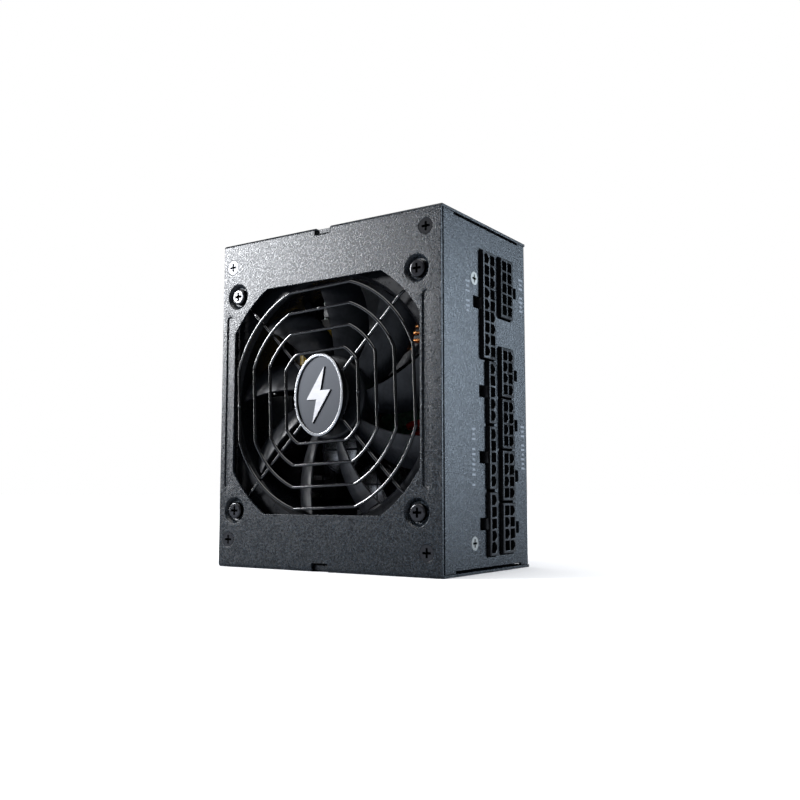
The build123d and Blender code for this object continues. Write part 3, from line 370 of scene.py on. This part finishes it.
FINISHES = {
    "case_paint": case_paint(),
    "black_screw": plain("black_screw", (0.010, 0.010, 0.012), 0.14, Coat_Weight=0.4),
    "bright_screw": plain("bright_screw", (0.72, 0.71, 0.68), 0.28, 1.0),
    "label_film": label_film(),
    "guard_wire": plain("guard_wire", (0.004, 0.004, 0.005), 0.11, Coat_Weight=0.6, relief=0.002 * MM),
    "badge_metal": badge_metal(),
    "emblem_metal": streaked("emblem_metal", (0.28, 0.28, 0.29), 0.5, (0.05, 1.0, 1.0), relief=0.004 * MM),
    "fan_plastic": fan_plastic(),
    "socket_plastic": plain("socket_plastic", (0.006, 0.006, 0.007), 0.17, relief=0.004 * MM),
    "inlet_plastic": plain("inlet_plastic", (0.014, 0.014, 0.015), 0.42),
    "tinned_contact": plain("tinned_contact", (0.7, 0.69, 0.66), 0.3, 1.0),
    "plain_steel": streaked("plain_steel", (0.55, 0.55, 0.56), 0.33, (1.0, 0.1, 1.0)),
    "bearing_bronze": plain("bearing_bronze", (0.62, 0.42, 0.22), 0.4, 1.0),
    "circuit_board": circuit_board(),
    "insulation_film": plain("insulation_film", (0.06, 0.06, 0.06), 0.5),
    "capacitor_sleeve": plain("capacitor_sleeve", (0.02, 0.02, 0.024), 0.25),
    "capacitor_can": streaked("capacitor_can", (0.75, 0.75, 0.76), 0.3, (1.0, 0.08, 1.0)),
    "yellow_tape": taped(),
    "ferrite": plain("ferrite", (0.035, 0.034, 0.034), 0.55),
    "copper_wire": plain("copper_wire", (0.72, 0.3, 0.1), 0.25, 1.0),
    "heat_sink_metal": streaked("heat_sink_metal", (0.78, 0.79, 0.8), 0.32, (0.06, 1.0, 1.0)),
    "black_epoxy": plain("black_epoxy", (0.015, 0.015, 0.016), 0.45),
    "black_lead": plain("black_lead", (0.015, 0.015, 0.016), 0.4),
    "red_lead": plain("red_lead", (0.5, 0.02, 0.015), 0.35),
    "white_nylon": plain("white_nylon", (0.75, 0.74, 0.7), 0.4),
}

for node in NODES.values():
    for slot in node.material_slots:
        slot.material = FINISHES[slot.material.name]

# The screws that show are bright on their heads, with painted shade that darkens them down in their
# recesses.
HEAD = 0.9 * MM
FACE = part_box("fan_cover")[0].y
SOCKET_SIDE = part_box("base_shell")[1].x
for name, finish in (
    ("cover_screws", with_painted_recess_shade("cover_screw", (0.03, 0.03, 0.033), 0.2, 0.6, "Y", FACE, FACE + HEAD)),
    ("fan_screws", with_painted_recess_shade("fan_screw", (0.02, 0.02, 0.023), 0.16, 0.3, "Y", FACE, FACE + HEAD)),
    ("socket_board_screws",
     with_painted_recess_shade("board_screw", (0.22, 0.21, 0.19), 0.42, 1.0, "X", SOCKET_SIDE, SOCKET_SIDE - HEAD)),
):
    NODES[name].material_slots[0].material = finish
NODES["switch_rocker"].material_slots[0].material = plain("rocker_plastic", (0.006, 0.006, 0.007), 0.16)
NODES["fan_frame"].material_slots[0].material = plain(
    "frame_plastic", (0.004, 0.0045, 0.006), 0.3, relief=0.01 * MM, Specular_IOR_Level=0.14)


# ---- edges ----

SAME_PLACE = 0.001 * MM
FLAT_WITHIN = math.radians(0.5)


def ease(name, width, merged=True, segments=2, sharper_than=35.0):
    """Round the hard edges of a CAD node, so that they catch the light as folded or moulded ones do.

    Flat faces are merged first, except on sheets that are full of holes.
    """
    node = NODES[name]
    weld = node.modifiers.new("weld", "WELD")
    weld.merge_threshold = SAME_PLACE
    if merged:
        merge = node.modifiers.new("merge_flats", "DECIMATE")
        merge.decimate_type = "DISSOLVE"
        merge.angle_limit = FLAT_WITHIN
    edges = node.modifiers.new("edges", "BEVEL")
    edges.width = width
    edges.segments = segments
    edges.limit_method = "ANGLE"
    edges.angle_limit = math.radians(sharper_than)
    edges.use_clamp_overlap = False
    shade = node.modifiers.new("shade", "WEIGHTED_NORMAL")
    shade.keep_sharp = False


ease("fan_cover", 0.14 * MM, merged=False)
ease("base_shell", 0.1 * MM, merged=False)
for name in NODES:
    if name.startswith("socket_") and NODES[name].material_slots[0].material == FINISHES["socket_plastic"]:
        ease(name, 0.12 * MM)


# ---- new pieces ----

def add_piece(name, bm, slot, body="case", material=None, rounded=40.0):
    """A new piece of the unit from that mesh, which rides on a body and takes a slot's finish."""
    mesh = bpy.data.meshes.new(name)
    bmesh.ops.recalc_face_normals(bm, faces=bm.faces)
    bm.to_mesh(mesh)
    bm.free()
    mesh.materials.append(material or FINISHES[slot])
    mesh.shade_smooth()
    mesh.set_sharp_from_angle(angle=math.radians(rounded))
    made = bpy.data.objects.new(name, mesh)
    bpy.context.scene.collection.objects.link(made)
    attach(made, body)
    return made


def solids_of(name):
    """The lowest and highest corner of each separate solid in a CAD node."""
    bm = bmesh.new()
    bm.from_mesh(NODES[name].data)
    bmesh.ops.remove_doubles(bm, verts=bm.verts, dist=SAME_PLACE)
    left = set(bm.verts)
    found = []
    while left:
        group = [left.pop()]
        for vert in group:
            for edge in vert.link_edges:
                other = edge.other_vert(vert)
                if other in left:
                    left.remove(other)
                    group.append(other)
        found.append(tuple(
            Vector(pick(vert.co[axis] for vert in group) for axis in range(3)) for pick in (min, max)
        ))
    bm.free()
    return sorted(found, key=lambda corners: tuple(corners[0]))


def lathe(bm, profile, origin, axis, steps=32):
    """A surface turned about an axis from a profile of (distance along, radius) pairs."""
    side = axis.orthogonal().normalized()
    other = axis.cross(side)
    rings = []
    for along, radius in profile:
        ring = []
        for step in range(steps):
            angle = 2 * math.pi * step / steps
            out = side * math.cos(angle) + other * math.sin(angle)
            ring.append(bm.verts.new(origin + axis * along + out * radius))
        rings.append(ring)
    for low, high in zip(rings, rings[1:]):
        for step in range(steps):
            after = (step + 1) % steps
            bm.faces.new((low[step], low[after], high[after], high[step]))
    bm.faces.new(rings[0])
    bm.faces.new(rings[-1])


def turn_of_wire(bm, points, normal, radius, sides=10, closed=True):
    """A round wire along points that lie in one plane."""
    rings = []
    count = len(points)
    for index, point in enumerate(points):
        before = points[index - 1] if closed or index else point
        after = points[(index + 1) % count] if closed or index < count - 1 else point
        out = (after - before).normalized().cross(normal)
        ring = []
        for side in range(sides):
            angle = 2 * math.pi * side / sides
            ring.append(bm.verts.new(point + (out * math.cos(angle) + normal * math.sin(angle)) * radius))
        rings.append(ring)
    pairs = zip(rings, rings[1:] + rings[:1]) if closed else zip(rings, rings[1:])
    for low, high in pairs:
        for side in range(sides):
            after = (side + 1) % sides
            bm.faces.new((low[side], low[after], high[after], high[side]))
    if not closed:
        bm.faces.new(rings[0])
        bm.faces.new(rings[-1])


def round_rectangle(centre, across, up, half_across, half_up, corner, steps=5):
    """Points round a rectangle with round corners, in the plane of two directions."""
    points = []
    for quarter, (sx, sy) in enumerate(((1, 1), (-1, 1), (-1, -1), (1, -1))):
        middle = centre + across * (sx * (half_across - corner)) + up * (sy * (half_up - corner))
        for step in range(steps + 1):
            angle = math.pi / 2 * (quarter + step / steps)
            points.append(middle + (across * math.cos(angle) + up * math.sin(angle)) * corner)
    return points


FAN_AXIS = Vector((0.0, 1.0, 0.0))
FAN = Vector(frame["joints"][0]["pos_m"])
WIRE_R = 0.6 * MM
RING_HALVES = (40.0 * MM, 32.2 * MM, 24.3 * MM, 16.5 * MM)
RING_TURN = math.radians(2.2)


def make_welds():
    """A small upset bead where each ring of the guard was butt-welded."""
    wire_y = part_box("grille_rings")[0].y + WIRE_R
    bead = [(-0.7, 0.98), (-0.35, 1.10), (-0.12, 1.24), (0.12, 1.24), (0.35, 1.10), (0.7, 0.98)]
    bm = bmesh.new()
    for half, quarter in zip(RING_HALVES, (2, 1, 2, 0)):
        angle = quarter * math.pi / 2 + RING_TURN
        out = Vector((math.cos(angle), 0.0, math.sin(angle)))
        place = Vector((FAN.x, wire_y, FAN.z)) + out * half
        profile = [(along * MM, radius * WIRE_R) for along, radius in bead]
        lathe(bm, profile, place, out.cross(FAN_AXIS), 20)
    add_piece("guard_welds", bm, "guard_wire")


def make_choke_turns():
    """The output choke's single layer of thick enamelled wire, turn by turn, with its two ends."""
    low, high = solids_of("output_choke_core")[0]
    middle = (low + high) / 2
    outer, inner, half_long = (high.z - low.z) / 2, 5.6 * MM, (high.x - low.x) / 2
    wire, gap, turns, sweep = 0.66 * MM, 0.15 * MM, 19, math.radians(288.0)
    along = Vector((1.0, 0.0, 0.0))
    bm = bmesh.new()
    for turn in range(turns):
        angle = sweep * turn / (turns - 1) + math.radians(1.0)
        out = Vector((0.0, math.cos(angle), math.sin(angle)))
        centre = middle + out * (outer + inner) / 2
        loop = round_rectangle(centre, along, out, half_long + gap + wire,
                               (outer - inner) / 2 + gap + wire, 1.3 * MM)
        turn_of_wire(bm, loop, along.cross(out), wire)
    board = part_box("main_board")[0].y
    for side in (-1, 1):
        start = middle + Vector((side * 3.0 * MM, outer, -side * 1.5 * MM))
        end = Vector((start.x, board + 0.2 * MM, start.z))
        turn_of_wire(bm, [start, (start + end) / 2, end], along, wire, closed=False)
    winding = add_piece("choke_turns", bm, "copper_wire", rounded=60.0)
    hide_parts("output_choke_winding")


def make_filter_turns():
    """The filter choke's two coils, each of two layers of thin wire."""
    bm = bmesh.new()
    up = Vector((0.0, 0.0, 1.0))
    wire = 0.42 * MM
    for low, high in solids_of("filter_choke_winding"):
        middle = (low + high) / 2
        turns = int((high.z - low.z) / (2 * wire))
        for layer in range(2):
            inset = wire * (1 + 2 * layer)
            for turn in range(turns):
                centre = Vector((middle.x, middle.y, low.z + wire * (2 * turn + 1)))
                loop = round_rectangle(centre, Vector((1.0, 0.0, 0.0)), FAN_AXIS,
                                       (high.x - low.x) / 2 - inset, (high.y - low.y) / 2 - inset, 1.0 * MM)
                turn_of_wire(bm, loop, up, wire, 8)
    winding = add_piece("filter_turns", bm, "copper_wire", rounded=60.0)
    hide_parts("filter_choke_winding")


def make_can_tops():
    """The bare end of each can inside its sleeve's rim, scored in quarters so that it can vent."""
    steps, crown_size, crown_high = 12, 0.97, 0.16 * MM
    bm = bmesh.new()
    for name, inset in (("bulk_capacitors", 1.6 * MM), ("output_capacitors", 0.9 * MM)):
        for low, high in solids_of(name):
            middle = (low + high) / 2
            radius = (high.x - low.x) / 2 - inset
            groove = 0.05 * radius
            for quarter in range(4):
                corner = Vector((middle.x, low.y, middle.z))
                start = math.asin(groove / radius)
                arc = []
                for step in range(steps + 1):
                    angle = math.pi / 2 * quarter + start + (math.pi / 2 - 2 * start) * step / steps
                    arc.append((math.cos(angle) * radius, math.sin(angle) * radius))
                turned = math.pi / 2 * quarter + math.pi / 4
                arc.append((math.cos(turned) * groove * 1.5, math.sin(turned) * groove * 1.5))
                face = [bm.verts.new(corner + Vector((x, 0.0, z))) for x, z in arc]
                crown = [
                    bm.verts.new(corner + Vector((x * crown_size, -crown_high, z * crown_size)))
                    for x, z in arc
                ]
                bm.faces.new(crown)
                for index in range(len(face)):
                    after = (index + 1) % len(face)
                    bm.faces.new((face[index], face[after], crown[after], crown[index]))
    add_piece("can_tops", bm, "capacitor_can")


def marking_ink():
    """Pale grey screen print, a little worn."""
    worn, fresh = (0.16, 0.17, 0.19), (0.40, 0.42, 0.45)
    finish = Finish("marking_ink", fresh, 0.5)
    finish.tint(finish.noise(0.5 * MM, 3.0), worn, fresh, 0.3, 0.5)
    finish.bump(finish.noise(0.3 * MM), 0.01 * MM, 0.5)
    return finish.material


def make_shield():
    """A folded sheet of insulation, which keeps the switch's terminals from the vent above them."""
    wide, tall, fold, thick, bend = 25.0 * MM, 28.0 * MM, 8.0 * MM, 0.4 * MM, 1.5 * MM
    gap, steps = 1.5 * MM, 6
    low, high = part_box("switch_housing")
    wall, foot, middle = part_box("base_shell")[0].x + gap, high.z + gap / 2, (low.y + high.y) / 2 + gap
    rows = [(wall + bend + fold, foot, wide / 2)]
    for step in range(steps + 1):
        turn = math.radians(270 - 90 * step / steps)
        rows.append((wall + bend * (1 + math.cos(turn)), foot + bend * (1 + math.sin(turn)), wide / 2))
    corner = bend * 2
    for step in range(steps + 1):
        turn = math.radians(90 * step / steps)
        height = foot + tall - corner * (1 - math.sin(turn))
        rows.append((wall, height, wide / 2 - corner * (1 - math.cos(turn))))
    bm = bmesh.new()
    edges = [[bm.verts.new((x, middle + side * half, z)) for side in (-1, 1)] for x, z, half in rows]
    for one, two in zip(edges, edges[1:]):
        bm.faces.new((one[0], one[1], two[1], two[0]))
    bmesh.ops.solidify(bm, geom=bm.faces[:], thickness=thick)
    add_piece("switch_shield", bm, "insulation_film")


def make_marks():
    """Rows of plain ticks, in place of the legends printed beside the sockets.

    Each row has its place along Y, its top, its foot and the length of its longest tick, in millimetres.
    """
    rows = ((-14.0, 101.5, 89.4, 3.0), (27.4, 109.7, 97.3, 3.0),
            (-10.6, 49.8, 30.2, 2.4), (27.4, 52.8, 34.0, 2.8))
    heights = (1.0, 0.7, 1.0, 0.0, 0.85, 1.0, 0.6)
    step, stroke, thick = 1.75 * MM, 0.75 * MM, 0.03 * MM
    bm = bmesh.new()
    for y, high, low, size in rows:
        for index in range(int((high - low) * MM / step) + 1):
            half = size * MM / 2 * heights[index % len(heights)]
            if half == 0.0:
                continue
            z = high * MM - index * step
            outline = [(y * MM + sy * half, z + sz * stroke / 2)
                       for sy, sz in ((-1, -1), (1, -1), (1, 1), (-1, 1))]
            base = [bm.verts.new((SOCKET_SIDE, py, pz)) for py, pz in outline]
            top = [bm.verts.new((SOCKET_SIDE + thick, py, pz)) for py, pz in outline]
            bm.faces.new(top)
            for corner in range(4):
                after = (corner + 1) % 4
                bm.faces.new((base[corner], base[after], top[after], top[corner]))
    add_piece("side_marks", bm, "label_film", material=marking_ink())


make_welds()
make_choke_turns()
make_filter_turns()
make_can_tops()
make_shield()
make_marks()
